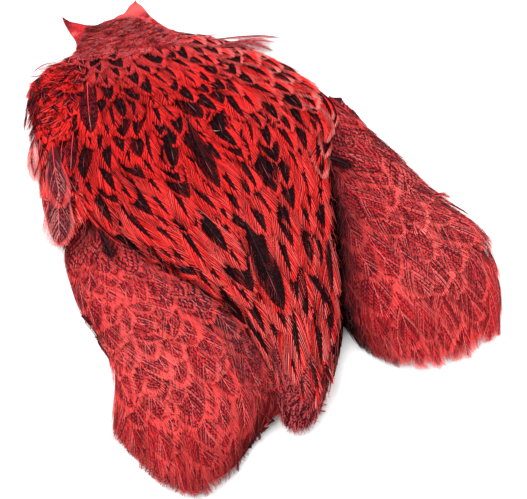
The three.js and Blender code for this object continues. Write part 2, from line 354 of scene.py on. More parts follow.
def rows_of_feathers(coat, settings, start, end, seed, stagger=0.25, scatter=0.3, scale=1.0):
    """Where the feathers of a tract have their tips, row by row from the tail end. Each row is
    shifted by the stagger, a share of the spacing, to the other side than the last, and the number
    in a row changes only when it is out by two, so that feathers stand in columns. Scatter is the
    greatest random step as a share of the spacing. Gives s, t, length and half width."""
    rng = np.random.default_rng(seed)
    found = []
    s, row, count = end, 0, 0
    while s >= start:
        share = min(max(s, 0.0), 1.0)
        length, half_width, pitch, spacing = (
            scale * size_at(settings, key, share) for key in ("length", "half_width", "pitch", "spacing")
        )
        width = coat.width(s)
        wanted = max(3, round(width / spacing))
        count = wanted if abs(wanted - count) > 1 else count
        step = pitch / np.linalg.norm(coat.slopes(np.array([s]), np.array([0.5]))[0])
        inset = ROW_INSET * half_width / width
        t = (np.arange(count) + 0.5 + stagger * (-1) ** row + rng.uniform(-scatter, scatter, count)) / count
        t = np.clip(inset + (1 - 2 * inset) * t, inset, 1 - inset)
        size = rng.uniform(*ROW_SIZES, count)
        at_s = s + rng.uniform(-ROW_SCATTER, ROW_SCATTER, count) * step
        found.append(np.stack([at_s, t, length * size, half_width * size]))
        s -= step
        row += 1
    return np.concatenate(found, axis=1)


# Random size of a feather at a side, and the steps of its tip along the side, as a share of the
# spacing, and across the coat
SIDE_SIZES, SIDE_SCATTER, SIDE_STRAY = (0.75, 1.15), 0.3, 0.04


def side_feathers(settings, count, start, end, t, seed, scale=1.0):
    """A number of feathers whose tips stand along one side of a tract, from start to end."""
    rng = np.random.default_rng(seed)
    s = np.linspace(start, end, count) + rng.normal(0, SIDE_SCATTER * (end - start) / count, count)
    size = scale * rng.uniform(*SIDE_SIZES, count)
    length, half_width = (size_at(settings, key, s) for key in ("length", "half_width"))
    t = t + rng.uniform(-SIDE_STRAY, SIDE_STRAY, count)
    return np.stack([s, t, length * size, half_width * size])


def per_feather(values, like):
    """Values of each feather, shaped to go with an array whose first axis is the feathers."""
    return np.asarray(values).reshape((-1,) + (1,) * (like.ndim - 1))


# A feather turns about a point this share of its length before its tip, and what lies behind that
# point leans by a smaller share
TURNING_POINT, ROOT_LEAN = 0.4, 0.3
# The share that is kept of what passes a coat's head end, and the most that a barb may pass a side,
# as a share of the coat's width
HEAD_TUCK, FARTHEST_OUT = 0.25, 0.05


def lay_on_coat(coat, feathers, x, y, height):
    """Points x metres ahead of a feather's tip (so mostly negative), y to its side and height above
    the coat, laid on the coat: the feather bends with it, as a soft one does. Its tip's half is
    turned by the yaw, and its root's half much less. Steps along and across the feather become
    steps of s and t by the inverse of the coat's slopes at its middle. What would pass the coat's
    edge is drawn in, and past a side it nears a limit as a hyperbolic tangent does, so that it
    hangs over the rim. Gives the points, and the shade at each of them."""
    s, t, length, _ = feathers["grid"]
    middle = s - TURNING_POINT * length / np.linalg.norm(coat.slopes(s, t)[0], axis=-1)
    along, across, normal = coat.slopes(middle, t)
    ahead = along / np.linalg.norm(along, axis=-1, keepdims=True)
    aside = np.cross(normal, ahead)
    slopes = np.stack([along, across], axis=1)
    metric = np.einsum("fik,fjk->fij", slopes, slopes)
    table = np.linalg.solve(metric, np.einsum("fik,fjk->fij", slopes, np.stack([ahead, aside], axis=1)))
    turn, lean = (per_feather(wave(feathers["yaw"]), x) for wave in (np.cos, np.sin))
    ahead = x + TURNING_POINT * per_feather(length, x)
    forth = ahead * turn - y * lean
    aside = np.where(ahead < 0, ROOT_LEAN, 1) * ahead * lean + y * turn
    at_s, at_t = (
        per_feather(start, x)
        + per_feather(table[:, row, 0], x) * forth
        + per_feather(table[:, row, 1], x) * aside
        for row, start in enumerate((middle, t))
    )
    held_s, held_t = np.clip(at_s, 0, 1), np.clip(at_t, 0, 1)
    at_s = held_s + (at_s - held_s) * np.where(at_s < 0, HEAD_TUCK, coat.tuck)
    at_t = held_t + FARTHEST_OUT * np.tanh((at_t - held_t) * coat.tuck / FARTHEST_OUT)
    found = coat.place(at_s, at_t) + coat.slopes(at_s, at_t)[2] * height[..., None]
    lowest = LOWEST_FEATHER + LOWEST_FEATHER_SPREAD * per_feather(feathers["chance"], x)
    found[..., 2] = np.maximum(found[..., 2], lowest)
    return found, spread_over(feathers["shade"], at_s, at_t)


def feather_heights(feathers, u, side):
    """Height of a vane over the coat: it rises in a line from a sunk root to a lifted tip, its edges
    curve down, and a ruffled feather curls up and twists."""
    sink, lift, crown, curl, twist = (
        per_feather(feathers[key], u) for key in ("sink", "lift", "crown", "curl", "twist")
    )
    bent = curl * np.clip(u - 0.5, 0, 1) ** 2 * 4
    return -sink * (1 - u) + lift * u - crown * side**2 + bent + twist * side * u


def strip_faces(count, stations, columns):
    """Faces of count separate strips, each a grid of stations by columns points."""
    i, j = np.meshgrid(np.arange(stations - 1), np.arange(columns - 1), indexing="ij")
    corner = (i * columns + j).ravel()
    quads = np.stack([corner, corner + columns, corner + columns + 1, corner + 1], axis=1)
    return (np.arange(count)[:, None, None] * stations * columns + quads).reshape(-1, 4)


# The kinds of strips, in the order of a piece's materials, and what each point tells its material
VANE, QUILL, LOOSE_BARB = range(3)
MARKS = ("vane", "tone", "seat")


def make_part(feathers, points, shade, faces, kind, vane, barb, across):
    """One kind of strips with what the materials read: vane holds u, v and the way in from the
    outline in millimetres, tone holds the chances of feather and barb and the place across the
    barb, and seat holds the feather's s and t and the shade at the point."""
    ones = np.ones(points.shape[:-1])

    def whole(*values):
        return np.stack([value * ones for value in values], axis=-1).reshape(-1, 3)

    s, t, _, _ = feathers["grid"]
    chance, s, t = (per_feather(values, ones) for values in (feathers["chance"], s, t))
    return {
        "points": points.reshape(-1, 3),
        "faces": faces,
        "kind": np.full(len(faces), kind),
        "vane": whole(*vane),
        "tone": whole(chance, barb, across),
        "seat": whole(s, t, shade),
    }


# How much a barb moves with each of its neighbours, and the least and greatest way to the next
# barb that its width follows
LOCK_WEIGHTS = (0.3, 0.6, 0.9, 1, 0.9, 0.6, 0.3)
BARB_SPACING = (0.08 * MM, 0.9 * MM)
# Random spread of a barb's tilt and tone, and of the fine lines from barb to barb
TILT_SPREAD, TONE_SPREAD, LINE_SPREAD = 0.10, 0.30, 0.04


def barbs_of(coat, feathers, barbs, form, rng):
    """The vanes. A barb leaves the quill at u_base and bends towards the tip until it meets the
    outline at u_end, as a quadratic curve. It is a flat strip as wide as the way to the next barb,
    tilted like a slat. Neighbouring barbs draw together in locks, so that the vane's edge splits,
    and a wave along the quill makes fine lines of lighter and darker barbs. Arrays run over
    feathers, sides, barbs, steps along the barb and its two edges."""
    length, half_width = feathers["grid"][2:]
    count = len(length)
    q = ((np.arange(barbs) + 0.5) / barbs)[:, None]
    base = form["first_barb"] + (form["last_barb"] - form["first_barb"]) * q
    end = base + (1 - base) * form["reach"] * (1 + 0.5 * q**6)
    wide_end = vane_outline(end, form)
    shape = (count, 2, barbs)
    lock = rng.normal(0, 1, shape)
    near = range(-(len(LOCK_WEIGHTS) // 2), len(LOCK_WEIGHTS) // 2 + 1)
    lock = sum(np.roll(lock, k, axis=2) * weight for k, weight in zip(near, LOCK_WEIGHTS))
    k = np.linspace(0, 1, form["barb_steps"] + 1)
    run = k * (1 + rng.normal(0, form["ragged"], shape) + form["ragged"] * 0.5 * lock)[..., None]
    rest = 1 - run
    u = rest**2 * base + 2 * run * rest * (base + form["bend"] * (end - base)) + run**2 * end
    w = 2 * run * rest * form["belly"] * wide_end + run**2 * wide_end
    side = np.array([-1.0, 1.0])[None, :, None, None]
    long, wide = per_feather(length, u), per_feather(half_width, u)
    pull = run**2 * lock[..., None] * form["lock_size"] * MM
    x = (u - 1) * long + pull
    y = side * (w * wide + pull * 0.5) + per_feather(feathers["bow"], u) * (u - 1) ** 2 * long
    frayed = run**2 * rng.normal(0, form["fray"], shape)[..., None] * MM
    height = feather_heights(feathers, u, side * w) + frayed
    way_x, way_y = np.gradient(x, axis=3), np.gradient(y, axis=3)
    size = np.maximum(np.hypot(way_x, way_y), 1e-9)
    way_x, way_y = way_x / size, way_y / size
    next_x = np.gradient((base + (end - base) * k) * long, axis=2)
    next_y = np.gradient(side * w * wide, axis=2)
    apart = np.clip(np.abs(next_x * way_y - next_y * way_x), *BARB_SPACING)
    slat = 0.5 * apart * form["slat"] * (1 - form["taper"] * k**2)
    edge = np.array([-1.0, 1.0])
    tilt = rng.normal(form["tilt"], TILT_SPREAD, shape)[..., None, None]
    outward = edge * side[..., None]
    points, shade = lay_on_coat(
        coat, feathers,
        x[..., None] - (way_y * slat)[..., None] * outward,
        y[..., None] + (way_x * slat)[..., None] * outward,
        height[..., None] + slat[..., None] * edge * tilt,
    )
    beside = vane_outline(u, form)
    slope = (vane_outline(u - 0.01, form) - beside) / 0.01 * wide / long
    inward = np.maximum(beside - w, 0) * wide / np.sqrt(1 + slope**2) / MM
    phase = rng.uniform(0, 1, (count, 2, 1)) + rng.normal(0, LINE_SPREAD, shape).cumsum(axis=2)
    lines = np.sin(2 * np.pi * (base[:, 0] * length[:, None, None] / (form["line"] * MM) + phase))
    barb = np.clip(0.5 + form["line_depth"] * lines + rng.normal(0, TONE_SPREAD, shape), 0, 1)
    faces = strip_faces(count * 2 * barbs, form["barb_steps"] + 1, 2)
    left = (np.arange(len(faces)) // (form["barb_steps"] * barbs)) % 2 == 0
    faces[left] = faces[left][:, ::-1]
    vane = (u[..., None], (side * w)[..., None], inward[..., None])
    return make_part(feathers, points, shade, faces, VANE, vane, barb[..., None, None], edge * 0.5 + 0.5)


# A quill's roof: the heights of its three points as shares of its half width, over the vane
QUILL_ROOF = np.array([-0.2, 0.9, -0.2])
QUILL_HEIGHT = 0.06 * MM


def quills_of(coat, feathers, form, kind=QUILL):
    """The quills: a low roof of three points across, carried along the middle of each feather and
    tapering to its tip."""
    length = feathers["grid"][2]
    u = np.linspace(form["first_barb"], form["last_quill"], form["quill_steps"] + 1)[None, :, None]
    u = u * np.ones((len(length), 1, 3))
    across = np.array([-1.0, 0.0, 1.0])
    thick = form["quill"] * MM * (1.15 - u)
    long = per_feather(length, u)
    y = across * thick + per_feather(feathers["bow"], u) * (u - 1) ** 2 * long
    height = feather_heights(feathers, u, 0.0) + thick * QUILL_ROOF + QUILL_HEIGHT
    points, shade = lay_on_coat(coat, feathers, (u - 1) * long, y, height)
    faces = strip_faces(len(length), form["quill_steps"] + 1, 3)[:, ::-1]
    return make_part(feathers, points, shade, faces, kind, (u, across * 0.1, 1.0), 0.5, 0.5)


# How a feather lies, as mean and spread: millimetres, degrees of yaw, and the bow as a share of
# the length
LIE = {
    "sink": (2.3, 0.15), "lift": (0.5, 0.2), "crown": (0.5, 0.15), "curl": (0.0, 0.1),
    "twist": (0.0, 0.25), "yaw": (0.0, 7.0), "bow": (0.0, 0.08),
}


def laid(grid, rng, flow, shade, lie):
    """How each feather of a grid lies. Flow and shade are tables over the tract: degrees of yaw to the
    right, and shade, which is darker above 0, partly as painted shade, and paler below, partly as a painted
    sheen."""
    count = grid.shape[1]
    drawn = {key: rng.normal(mean, spread, count) for key, (mean, spread) in {**LIE, **lie}.items()}
    feathers = {key: drawn[key] * MM for key in ("sink", "lift", "crown", "curl", "twist")}
    feathers["yaw"] = np.radians(drawn["yaw"] + spread_over(flow, grid[0], grid[1]))
    feathers["bow"] = drawn["bow"]
    feathers["shade"] = shade
    feathers["chance"] = rng.uniform(0, 1, count)
    feathers["grid"] = grid
    return feathers


EVEN = even(0)


def feather_parts(coat, grid, form, barbs, seed, flow=EVEN, shade=EVEN, **lie):
    """The vanes and quills of all feathers of a grid."""
    rng = np.random.default_rng(seed)
    feathers = laid(grid, rng, flow, shade, lie)
    return [barbs_of(coat, feathers, barbs, form, rng), quills_of(coat, feathers, form)]


def row_parts(coat, settings, form, barbs, seed, start, end, flow=EVEN, shade=EVEN, layout=None, **lie):
    """Rows of feathers over a tract, from start to end. The layout holds the stagger, scatter and
    scale of the rows where they aren't the usual ones."""
    grid = rows_of_feathers(coat, settings, start, end, seed, **(layout or {}))
    return feather_parts(coat, grid, form, barbs, seed + 1, flow, shade, **lie)


def edge_parts(coat, settings, form, barbs, seed, count, start, end, t, scale=1.0, shade=EVEN, **lie):
    """A line of feathers along a side of a tract, from start to end."""
    grid = side_feathers(settings, count, start, end, t, seed, scale)
    return feather_parts(coat, grid, form, barbs, seed + 1, shade=shade, **lie)


LOOSE_LIE = {"sink": (0, 0), "lift": (0, 0), "crown": (0.3, 0), "yaw": (0, 0)}


def loose_parts(table, form, barbs, seed, place=0.4, across=0.5, chance=None):
    """Feathers that leave the coat. Each row gives its root, middle, tip, half width and shade, and
    the feather lies on a small coat of its own along that curve. Its material takes it for one at
    that place of a tract, from the head end to the tail end, and that place across it."""
    parts = []
    for k, (root, middle, tip, half_width, shade) in enumerate(table):
        line = np.array([root, middle, tip], float)
        way = line[-1] - line[0]
        aside = np.array([way[1], -way[0], 0]) / np.hypot(*way[:2]) * half_width * 1.2
        tract = {"left": line + aside, "middle": line + [0, 0, 0.4], "right": line - aside}
        coat = Coat(tract, overhang=1, tuck=1)
        length = np.linalg.norm(np.diff(line, axis=0), axis=1).sum()
        grid = np.array([[1.0], [0.5], [length * MM], [half_width * MM]])
        parts += feather_parts(coat, grid, form, barbs, seed + k, shade=even(shade), **LOOSE_LIE)
    for part in parts:
        part["seat"][:, :2] = place, across
        if chance is not None:
            part["tone"][:, 0] = chance
    return parts


HAIR = {"first_barb": 0.0, "last_quill": 1.0, "quill": 0.10, "quill_steps": 6}
HAIR_LIE = {"sink": (1.2, 0.4), "lift": (0.8, 0.6), "yaw": (0, 24), "bow": (0, 0.3)}
HAIR_SPLAY = 25


def hair_parts(coat, seed, count, lengths, s_range, edges, flow=EVEN, shade=EVEN):
    """Loose barbs: thin bowed strips that leave the coat near its rim, splayed to its sides. The
    edges say how near to the two sides they grow: 0 only there, 1 everywhere."""
    rng = np.random.default_rng(seed)
    s = rng.uniform(*s_range, count)
    t = rng.uniform(0, 0.5, count) * edges
    t = np.where(rng.uniform(0, 1, count) < 0.5, t, 1 - t)
    grid = np.stack([s, t, rng.uniform(*lengths, count) * MM, np.full(count, MM)])
    feathers = laid(grid, rng, flow, shade, HAIR_LIE)
    feathers["yaw"] += np.radians(HAIR_SPLAY) * (t - 0.5) * 2
    return [quills_of(coat, feathers, HAIR, LOOSE_BARB)]


def add_piece(name, points, faces, materials, attributes=None, material_index=None):
    """A smooth mesh object at the origin from whole arrays of points and quads."""
    mesh = bpy.data.meshes.new(name)
    faces = np.ascontiguousarray(faces, dtype=np.int32)
    mesh.vertices.add(len(points))
    mesh.vertices.foreach_set("co", np.ascontiguousarray(points, dtype=np.float32).ravel())
    mesh.loops.add(faces.size)
    mesh.loops.foreach_set("vertex_index", faces.ravel())
    mesh.polygons.add(len(faces))
    mesh.polygons.foreach_set("loop_start", np.arange(0, faces.size, faces.shape[1], dtype=np.int32))
    for material in materials:
        mesh.materials.append(material)
    if material_index is not None:
        mesh.polygons.foreach_set("material_index", np.ascontiguousarray(material_index, dtype=np.int32))
    for key, values in (attributes or {}).items():
        layer = mesh.attributes.new(key, "FLOAT_VECTOR", "POINT")
        layer.data.foreach_set("vector", np.ascontiguousarray(values, dtype=np.float32).ravel())
    mesh.update(calc_edges=True)
    mesh.polygons.foreach_set("use_smooth", np.full(len(faces), True))
    mesh.validate()
    piece = bpy.data.objects.new(name, mesh)
    bpy.context.scene.collection.objects.link(piece)
    return piece


def dress(piece, node):
    """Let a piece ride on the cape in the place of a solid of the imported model."""
    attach(piece, "root")
    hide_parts(node)


def add_feathers(name, node, parts, materials):
    """Join parts into one piece."""
    whole = {key: np.concatenate([part[key] for part in parts]) for key in ("points", "kind", *MARKS)}
    starts = np.cumsum([0] + [len(part["points"]) for part in parts[:-1]])
    faces = np.concatenate([part["faces"] + start for part, start in zip(parts, starts)])
    attributes = {key: whole[key] for key in MARKS}
    dress(add_piece(name, whole["points"], faces, materials, attributes, whole["kind"]), node)


def closed_sheet(top, under):
    """Points and faces of a sheet between two grids of points, with a wall round its rim."""
    rows, columns = top.shape[:2]
    index = np.arange(rows * columns).reshape(rows, columns)
    corners = [index[:-1, :-1], index[1:, :-1], index[1:, 1:], index[:-1, 1:]]
    quads = np.stack(corners, axis=-1).reshape(-1, 4)
    rim = np.concatenate([index[0, :-1], index[:-1, -1], index[-1, :0:-1], index[:0:-1, 0]])
    after = np.roll(rim, -1)
    shift = rows * columns
    wall = np.stack([rim, after, after + shift, rim + shift], axis=1)
    points = np.concatenate([top.reshape(-1, 3), under.reshape(-1, 3)])
    return points, np.concatenate([quads, quads[:, ::-1] + shift, wall])


def add_down(name, node, coat, colours, seed, drop, end):
    """The down under a tract's feathers: the coat's dome lowered and drawn in, closed by a flat
    underside."""
    rng = np.random.default_rng(seed)
    s, t = np.meshgrid(
        np.linspace(0.0, end, DOWN_ROWS), np.linspace(*DOWN_SIDES, DOWN_COLUMNS), indexing="ij"
    )
    top = coat.place(s, t)
    fluffy = top[..., 2] - drop * MM + rng.normal(0, DOWN_FLUFF, s.shape)
    top[..., 2] = np.maximum(fluffy, DOWN_LOWEST)
    under = top.copy()
    under[..., 2] = DOWN_UNDERSIDE
    material = shared("down", down_material, colours)
    dress(add_piece(name, *closed_sheet(top, under), [material]), node)


# Materials


class Value:
    """A socket of a shader node tree, with Python's operators on it."""

    def __init__(self, tree, socket):
        self.tree, self.socket = tree, socket

    def node(self, kind, settings=None, output=0, **inputs):
        """A new node of that kind. Settings are set first, then each input gets a value or a link.
        An input's name has _ for a space, or is i and the socket's number."""
        made = self.tree.nodes.new(kind)
        for key, value in (settings or {}).items():
            setattr(made, key, value)
        for key, value in inputs.items():
            numbered = key[0] == "i" and key[1:].isdigit()
            socket = made.inputs[int(key[1:]) if numbered else key.replace("_", " ")]
            if isinstance(value, Value):
                self.tree.links.new(value.socket, socket)
            else:
                socket.default_value = value
        return Value(self.tree, made.outputs[output])

    def maths(self, operation, *others):
        inputs = {f"i{k}": value for k, value in enumerate((self, *others))}
        return self.node("ShaderNodeMath", {"operation": operation}, **inputs)

    def __add__(self, other):
        return self.maths("ADD", other)

    def __radd__(self, other):
        return self.maths("ADD", other)

    def __sub__(self, other):
        return self.maths("SUBTRACT", other)

    def __rsub__(self, other):
        return self.node("ShaderNodeMath", {"operation": "SUBTRACT"}, i0=other, i1=self)

    def __mul__(self, other):
        return self.maths("MULTIPLY", other)

    def __rmul__(self, other):
        return self.maths("MULTIPLY", other)

    def __truediv__(self, other):
        return self.maths("DIVIDE", other)

    def __pow__(self, other):
        return self.maths("POWER", other)

    def __abs__(self):
        return self.maths("ABSOLUTE")

    def least(self, other):
        return self.maths("MINIMUM", other)

    def most(self, other):
        return self.maths("MAXIMUM", other)

    def ramp(self, low, high):
        """0 below low, 1 above high, smooth between."""
        settings = {"interpolation_type": "SMOOTHSTEP"}
        return self.node("ShaderNodeMapRange", settings, Value=self, From_Min=low, From_Max=high)

    def blend(self, first, second):
        """The colour first where this value is 0 or less, and second where it is 1 or more."""
        inputs = {"i0": self}
        for key, colour in (("i6", first), ("i7", second)):
            inputs[key] = colour if isinstance(colour, Value) else (*colour, 1.0)
        return self.node("ShaderNodeMix", {"data_type": "RGBA"}, output=2, **inputs)

    def parts(self):
        """The three parts of a vector."""
        made = self.node("ShaderNodeSeparateXYZ", Vector=self)
        return [Value(self.tree, made.socket.node.outputs[k]) for k in range(3)]


def new_material(name, roughness, specular):
    """A material with a Principled shader, and a Value to grow its nodes from."""
    material = bpy.data.materials.new(name)
    material.use_nodes = True
    shader = material.node_tree.nodes["Principled BSDF"]
    shader.inputs["Roughness"].default_value = roughness
    shader.inputs["Specular IOR Level"].default_value = specular
    return material, shader, Value(material.node_tree, None)


def connect(shader, **links):
    """Link values to the shader's sockets."""
    for key, value in links.items():
        value.tree.links.new(value.socket, shader.inputs[key.replace("_", " ")])


def feather_marks(start):
    """What each point tells its material: u along the feather, v to its side, millimetres in from
    the outline, the chance of the feather and of the barb, the place across the barb, s, t and
    shade."""
    named = (start.node("ShaderNodeAttribute", {"attribute_name": key}, output=1) for key in MARKS)
    return tuple(part for vector in named for part in vector.parts())


def speckle(start, scale, detail=2.0, stretch=(1, 1, 1)):
    """Noise in the object's own coordinates, about 0.5 in the middle."""
    place = start.node("ShaderNodeTexCoord", output=3)
    place = start.node("ShaderNodeVectorMath", {"operation": "MULTIPLY"}, i0=place, i1=stretch)
    return start.node("ShaderNodeTexNoise", Vector=place, Scale=scale, Detail=detail)


def barb_tones(barb, across):
    """How far a barb is darkened and how far it catches the light as a painted highlight: its own tone,
    with painted shade along one edge, where it meets the next barb."""
    # Painted shade along one edge of each barb, where it meets the next
    groove_shade = (across - 0.6).ramp(0.0, 0.3) * 0.2
    dark = ((0.34 - barb).ramp(-0.10, 0.30) + groove_shade).least(1.0)
    return dark, (barb - 0.72).ramp(0.0, 0.28)


def laced_material(name, colours, spade_size, marbling, worn_from):
    """Laced feathers: a near-black spade in the middle with a bright red edge. The spade
    closes towards the tip nearly as a parabola, narrows to the root and differs in size.
    Barbs are darker near the root, partly their own downy base and partly painted shade under the feather
    above, and darker by the painted shade, black where it is deepest. Where the shade is below 0 the rim
    gets a painted pale sheen, and light barbs get painted highlights. The last feathers at the tail end are
    worn and mottled."""
    material, shader, start = new_material(name, 0.5, specular=0.015)
    u, v, inward, chance, barb, across, s, t, shade = feather_marks(start)
    wander = speckle(start, 900)
    broad = speckle(start, 60)
    grain = speckle(start, 1400)
    dark_barb, light_barb = barb_tones(barb, across)
    darker, paler = shade.most(0.0), (0 - shade).most(0.0)

    closing = ((u + (barb - 0.5) * 0.02 - 0.56) / (0.375 + chance * 0.03)).most(0.0)
    size = (spade_size + chance * chance * 0.60) * (0.2 + u.ramp(0.05, 0.50) * 0.8)
    spade = (1 - closing * closing).most(0.0) ** 0.85 * size
    frayed = (wander - 0.5) * (0.05 + marbling * 0.3) + (barb - 0.5) * 0.05
    mask = (spade - abs(v) + frayed).ramp(-0.015, 0.03)

    # Darker near the root, partly the downy base and partly painted shade under the feather above, and
    # darker by the painted shade
    deep = ((broad - 0.5) * 0.6 + (0.55 - u).most(0.0) * 3.0 + darker * (wander + 0.3)).most(0.0)
    ticks = (grain - 0.54).ramp(0.0, 0.08) * (0.1 + s * 0.6) * (1.15 - barb)
    red = (deep + dark_barb * (0.80 + s * 0.50) + ticks).blend(colours.red, colours.deep_red)
    red = ((0.16 - s).ramp(0.0, 0.14) * 0.55).blend(red, HEAD_END_RED)
    # Painted pale sheen on the rims where the shade is below 0, and painted highlights on light barbs
    rim = paler * (2.2 - inward).ramp(0.0, 1.4) * (0.5 + barb * 0.8)
    red = rim.most(light_barb * (0.04 + (s - 0.35).most(0.0) * 1.1)).blend(red, colours.pale)

    marbled = (wander + marbling * 0.2 - 0.45).ramp(0, 0.3) * (0.2 + darker * 0.3 + marbling)
    dark = (marbled.least(1.0) * (barb * 1.5 - 0.2)).blend(colours.black, MARBLED_RED)
    mottled = ((grain - 0.5) * 4.0 + (barb - 0.5)).ramp(-0.3, 0.4).blend(WORN_DARK, WORN_LIGHT)
    worn = (s + (chance - 0.5) * 0.06 + (0.4 - t) * 0.06).ramp(worn_from, worn_from + 0.06)
    vane = worn.blend(mask.blend(red, dark), mottled)
    # Painted shade: near black where the shade is deepest, as in the cleft
    vane = (shade.ramp(0.7, 1.0) * 0.9).blend(vane, colours.black)
    connect(shader, Base_Color=vane, Roughness=0.5 - mask * 0.08)
    return material


def pencilled_material(name, colours, period, edge, mottling, folds=0.0):
    """Pencilled feathers: a broad soft pale edge, and a heart speckled by dark wavy lines that follow the
    outline, bolder in patches of the head end's half. Period and edge are millimetres. The root is darker,
    partly its own downy base and partly painted shade under the feather above, and the shade darkens the
    rest as painted shade, near black where it is deepest. Below 0 the shade pales the barbs, partly as a
    painted sheen and partly as the pale rims of some feathers. Light barbs get painted highlights, and a
    purple sheen is painted near the right side, between the head and tail ends. Folds are painted streaks
    of light and shade across the tract."""
    material, shader, start = new_material(name, 0.55, specular=0.015)
    u, _, inward, chance, barb, across, s, t, shade = feather_marks(start)
    wander = speckle(start, 800, 3)
    coarse = speckle(start, 160)
    dark_barb, light_barb = barb_tones(barb, across)
    darker, paler = shade.most(0.0), (0 - shade).most(0.0)
    bold = (0.60 - s).ramp(0.0, 0.30) * speckle(start, 45, 1).ramp(0.42, 0.60)

    period = period * (1 + bold * 0.6)
    uneven = (wander - 0.5) * (2.0 - bold * 1.6) + (coarse - 0.5) * (1.2 - bold)
    depth = inward + uneven * period + (barb - 0.5) * 0.4
    wave = ((depth / period + chance) * (2 * math.pi)).maths("SINE")
    rough = (wander - 0.5) * (2.8 - bold * 2.0) + (0.5 - barb) * 1.8
    lines = (wave * (0.9 + bold * 0.3) + rough + 0.1 + bold * 0.25).ramp(-0.25, 0.32)

    rim = edge * (0.55 + chance * 0.95) * (1 - bold * 0.4)
    heart = (inward + (coarse - 0.5) * 1.4 + (barb - 0.5) * 0.5 - rim).ramp(-0.2 * edge, 0.3 * edge)
    heart = heart * (1 - (s - 0.86).ramp(0.0, 0.12) * 0.2)
    line = (heart * (lines * 0.58 + 0.36) + lines * (0.05 + bold * 0.2)) * mottling
    # The root darker, partly the downy base and partly painted shade under the feather above, and darker by
    # the painted shade
    line = line.most((0.50 - u).ramp(0.0, 0.15) * 0.9).most(darker * (0.3 + coarse)).least(1.0)

    ground = (1.0 - inward / (edge * 2)).ramp(0.0, 0.8).blend(colours.side_red, colours.side_edge)
    sheen = (t - 0.74).ramp(0.0, 0.2) * (s - 0.12).ramp(0.0, 0.15) * (0.80 - s).ramp(0.0, 0.2) * mottling
    purple = (sheen * (coarse * 2 - 0.1) * (0.35 + heart * 0.65)).least(0.85)
    ground = purple.blend(ground, PURPLE_SHEEN)
    # Painted highlights on light barbs, and paler barbs where the shade is below 0, partly a painted sheen
    light = light_barb * (0.08 + heart * 0.32 + sheen * 0.3)
    ground = (paler * (0.3 + barb) * (1 - heart * 0.6)).most(light).blend(ground, colours.pale)
    ground = (dark_barb * (heart * 0.35 + 0.32)).blend(ground, colours.deep_red)
    if folds:
        # Painted light and shade of the folds
        fold = speckle(start, 480, 3, stretch=(0.35, 1, 1))
        ground = ((fold - 0.5).ramp(0.0, 0.10) * folds).blend(ground, FOLD_LIGHT)
        line = line.most((0.48 - fold).ramp(0.0, 0.10) * folds)

    vane = line.blend(ground, colours.pencil)
    # Painted shade: near black where the shade is deep, as in the cleft
    vane = (darker * (darker + coarse - 0.4)).least(0.95).blend(vane, colours.black)
    connect(shader, Base_Color=vane, Roughness=0.6 - line * 0.1)
    return material


def quill_material(name, pale, dark, pale_to):
    """The quill: pale in a stretch of its outer half that starts at another place on each feather and ends
    at pale_to, a share of its length, else as dark as what is round it. Painted shade dims it where the
    shade is above 0, to near black where it is deepest."""
    material, shader, start = new_material(name, 0.35, specular=0.2)
    u, _, _, chance, *_, shade = feather_marks(start)
    shown = (u + chance * 0.35 - 0.9).ramp(0.0, 0.12) * (pale_to - u).ramp(0.0, 0.05)
    colour = (shown * (1 - shade.ramp(0.1, 0.6) * 0.8)).blend(dark, pale)
    # Painted shade darkens the quill towards near black where the shade is high
    connect(shader, Base_Color=shade.ramp(0.2, 1.0).blend(colour, QUILL_SHADED))
    return material


def loose_barb_material(name, colours):
    """Loose barbs, from deep red to pale, darker by the painted shade."""
    material, shader, start = new_material(name, 0.5, specular=0.2)
    _, _, _, chance, *_, shade = feather_marks(start)
    # Painted shade makes the barbs darker
    light = chance - shade.most(0.0)
    connect(shader, Base_Color=light.blend(colours.deep_red, colours.side_edge))
    return material


def husk_material(name):
    """A bit of dry husk."""
    material, shader, start = new_material(name, 0.6, specular=0.2)
    connect(shader, Base_Color=speckle(start, 900).blend(HUSK_DARK, HUSK_LIGHT))
    return material


def down_material(name, colours):
    """Matt dark down; its dark colour is partly painted shade for the gaps between the feathers."""
    material, shader, start = new_material(name, 0.9, specular=0.1)
    # Dark, partly as painted shade in the gaps between feathers
    connect(shader, Base_Color=speckle(start, 1200, 4).blend(DOWN_DARK, colours.down))
    return material


def skin_material(name, colours):
    """Dried skin: leathery, blotched, with small pits, and with painted pink highlights in small patches
    and at its right corner."""
    material, shader, start = new_material(name, 0.45, specular=0.1)
    blotch = speckle(start, 120, 4)
    fine = speckle(start, 1500, 3)
    tint = (blotch * 0.6 + fine * 0.4).ramp(0.40, 0.60).blend(SKIN_DARK, colours.skin)
    x, y, _ = start.node("ShaderNodeTexCoord", output=3).parts()
    # Painted highlights: at the skin's right corner and in small patches
    right_corner_highlight = (x + 0.028).ramp(0.0, 0.008) * (y - 0.096).ramp(0.0, 0.006)
    highlight_spots = speckle(start, 260, 3).ramp(0.50, 0.72)
    tint = (highlight_spots.most(right_corner_highlight) * 0.5).blend(tint, SKIN_HIGHLIGHT)
    pits = start.node("ShaderNodeBump", Height=speckle(start, 350), Strength=0.6, Distance=0.0006)
    connect(shader, Base_Color=tint, Roughness=0.38 + blotch * 0.25, Normal=pits)
    return material


def shared(name, make, *values, **looks):
    """A material that is made once."""
    return bpy.data.materials.get(name) or make(name, *values, **looks)


VANES = {
    "laced_vane": (laced_material, {"spade_size": 0.14, "marbling": 0.0, "worn_from": 0.88}),
    "laced_shoulder": (laced_material, {"spade_size": 0.26, "marbling": 0.5, "worn_from": 2.0}),
    "pencilled_neck": (pencilled_material, {"period": 0.9, "edge": 0.45, "mottling": 0.6, "folds": 0.8}),
    "pencilled_side": (pencilled_material, {"period": 1.0, "edge": 1.35, "mottling": 1.0}),
}


